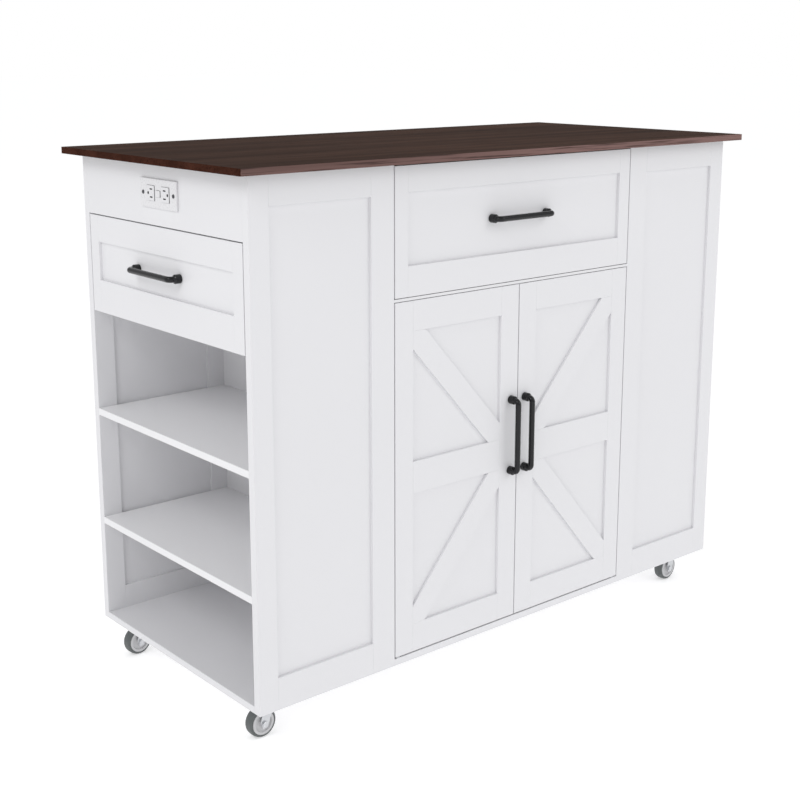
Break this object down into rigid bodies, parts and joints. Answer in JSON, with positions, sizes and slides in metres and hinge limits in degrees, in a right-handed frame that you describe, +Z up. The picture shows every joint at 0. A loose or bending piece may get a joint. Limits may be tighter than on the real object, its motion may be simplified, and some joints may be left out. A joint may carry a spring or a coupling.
{
  "type": "kitchen island cart",
  "caption": "Kitchen island on swivel casters: dark worktop over a white cabinet with framed panels, cross-braced doors, a wide front drawer, and end drawers over open bays.",
  "frame": {"origin": "on the floor under the middle of the cart", "axes": "+Z up, +X along the long front (right when facing it), +Y towards the back; doors and front drawer face -Y, the end with the outlet faces -X"},
  "size_m": [1.16, 0.549, 0.916],
  "materials": {
    "white_paint": "satin white paint on board",
    "worktop": "dark espresso wood grain, satin",
    "black_metal": "satin black",
    "zinc": "zinc plated",
    "drawer_box": "white laminate",
    "outlet_plastic": "white",
    "outlet_box_plastic": "black",
    "tyre_rubber": "dark grey",
    "hub_plastic": "light grey"
  },
  "bodies": {
    "carcass": {"back_center_panel": "white_paint", "back_left_panel": "white_paint", "back_right_panel": "white_paint", "bottom_board": "white_paint", "cabinet_shelf": "white_paint", "caster_plates": "zinc", "caster_screws": "zinc", "center_deck": "white_paint", "countertop": "worktop", "door_bottom_pivots": "zinc", "door_top_pivots": "zinc", "end_decks": "white_paint", "end_slide_outers": "zinc", "front_left_panel": "white_paint", "front_right_panel": "white_paint", "front_slide_outers": "zinc", "left_divider": "white_paint", "left_end_panel": "white_paint", "left_shelves": "white_paint", "outlet_box": "outlet_box_plastic", "outlet_plate": "outlet_plastic", "outlet_screws": "zinc", "outlet_sockets": "outlet_plastic", "right_divider": "white_paint", "right_end_panel": "white_paint", "right_shelves": "white_paint", "shelf_pins": "zinc", "top_stretchers": "white_paint"},
    "front_drawer": {"front_drawer_front": "white_paint", "front_drawer_box": "drawer_box", "front_drawer_pull": "black_metal", "front_slide_inners": "zinc"},
    "front_slide_middle": {"front_slide_mids": "zinc"},
    "left_drawer": {"left_drawer_front": "white_paint", "left_drawer_box": "drawer_box", "left_drawer_pull": "black_metal", "left_slide_inners": "zinc"},
    "left_slide_middle": {"left_slide_mids": "zinc"},
    "right_drawer": {"right_drawer_front": "white_paint", "right_drawer_box": "drawer_box", "right_drawer_pull": "black_metal", "right_slide_inners": "zinc"},
    "right_slide_middle": {"right_slide_mids": "zinc"},
    "door_left": {"left_door": "white_paint", "left_door_pull": "black_metal"},
    "door_right": {"right_door": "white_paint", "right_door_pull": "black_metal"},
    "swivel_front_left": {"caster_fork_front_left": "zinc"},
    "wheel_front_left": {"caster_hub_front_left": "hub_plastic", "caster_tyre_front_left": "tyre_rubber"},
    "swivel_back_left": {"caster_fork_back_left": "zinc"},
    "wheel_back_left": {"caster_hub_back_left": "hub_plastic", "caster_tyre_back_left": "tyre_rubber"},
    "swivel_front_right": {"caster_fork_front_right": "zinc"},
    "wheel_front_right": {"caster_hub_front_right": "hub_plastic", "caster_tyre_front_right": "tyre_rubber"},
    "swivel_back_right": {"caster_fork_back_right": "zinc"},
    "wheel_back_right": {"caster_hub_back_right": "hub_plastic", "caster_tyre_back_right": "tyre_rubber"}
  },
  "joints": [
    {"name": "front_drawer_slide", "type": "slide", "parent": "carcass", "child": "front_drawer", "axis": [0, -1, 0], "range_m": [0, 0.4]},
    {"name": "front_middle_slide", "type": "slide", "parent": "carcass", "child": "front_slide_middle", "axis": [0, -1, 0], "range_m": [0, 0.2]},
    {"name": "left_drawer_slide", "type": "slide", "parent": "carcass", "child": "left_drawer", "axis": [-1, 0, 0], "range_m": [0, 0.2]},
    {"name": "left_middle_slide", "type": "slide", "parent": "carcass", "child": "left_slide_middle", "axis": [-1, 0, 0], "range_m": [0, 0.1]},
    {"name": "right_drawer_slide", "type": "slide", "parent": "carcass", "child": "right_drawer", "axis": [1, 0, 0], "range_m": [0, 0.2]},
    {"name": "right_middle_slide", "type": "slide", "parent": "carcass", "child": "right_slide_middle", "axis": [1, 0, 0], "range_m": [0, 0.1]},
    {"name": "door_left_hinge", "type": "hinge", "parent": "carcass", "child": "door_left", "pos_m": [-0.2705, -0.245, 0.38], "axis": [0, 0, -1], "range_deg": [0, 105]},
    {"name": "door_right_hinge", "type": "hinge", "parent": "carcass", "child": "door_right", "pos_m": [0.2705, -0.245, 0.38], "axis": [0, 0, 1], "range_deg": [0, 105]},
    {"name": "swivel_front_left", "type": "hinge", "parent": "carcass", "child": "swivel_front_left", "pos_m": [-0.506, -0.198, 0.054], "axis": [0, 0, 1], "continuous": true},
    {"name": "roll_front_left", "type": "hinge", "parent": "swivel_front_left", "child": "wheel_front_left", "pos_m": [-0.518, -0.198, 0.025], "axis": [0, 1, 0], "continuous": true},
    {"name": "swivel_back_left", "type": "hinge", "parent": "carcass", "child": "swivel_back_left", "pos_m": [-0.506, 0.198, 0.054], "axis": [0, 0, 1], "continuous": true},
    {"name": "roll_back_left", "type": "hinge", "parent": "swivel_back_left", "child": "wheel_back_left", "pos_m": [-0.51797, 0.19716, 0.025], "axis": [-0.0698, 0.9976, 0], "continuous": true},
    {"name": "swivel_front_right", "type": "hinge", "parent": "carcass", "child": "swivel_front_right", "pos_m": [0.506, -0.198, 0.054], "axis": [0, 0, 1], "continuous": true},
    {"name": "roll_front_right", "type": "hinge", "parent": "swivel_front_right", "child": "wheel_front_right", "pos_m": [0.49401, -0.19842, 0.025], "axis": [-0.0349, 0.9994, 0], "continuous": true},
    {"name": "swivel_back_right", "type": "hinge", "parent": "carcass", "child": "swivel_back_right", "pos_m": [0.506, 0.198, 0.054], "axis": [0, 0, 1], "continuous": true},
    {"name": "roll_back_right", "type": "hinge", "parent": "swivel_back_right", "child": "wheel_back_right", "pos_m": [0.49426, 0.19551, 0.025], "axis": [-0.2079, 0.9781, 0], "continuous": true}
  ],
  "couplings": [
    {"joint": "front_middle_slide", "follows": "front_drawer_slide", "ratio": 0.5},
    {"joint": "left_middle_slide", "follows": "left_drawer_slide", "ratio": 0.5},
    {"joint": "right_middle_slide", "follows": "right_drawer_slide", "ratio": 0.5}
  ]
}
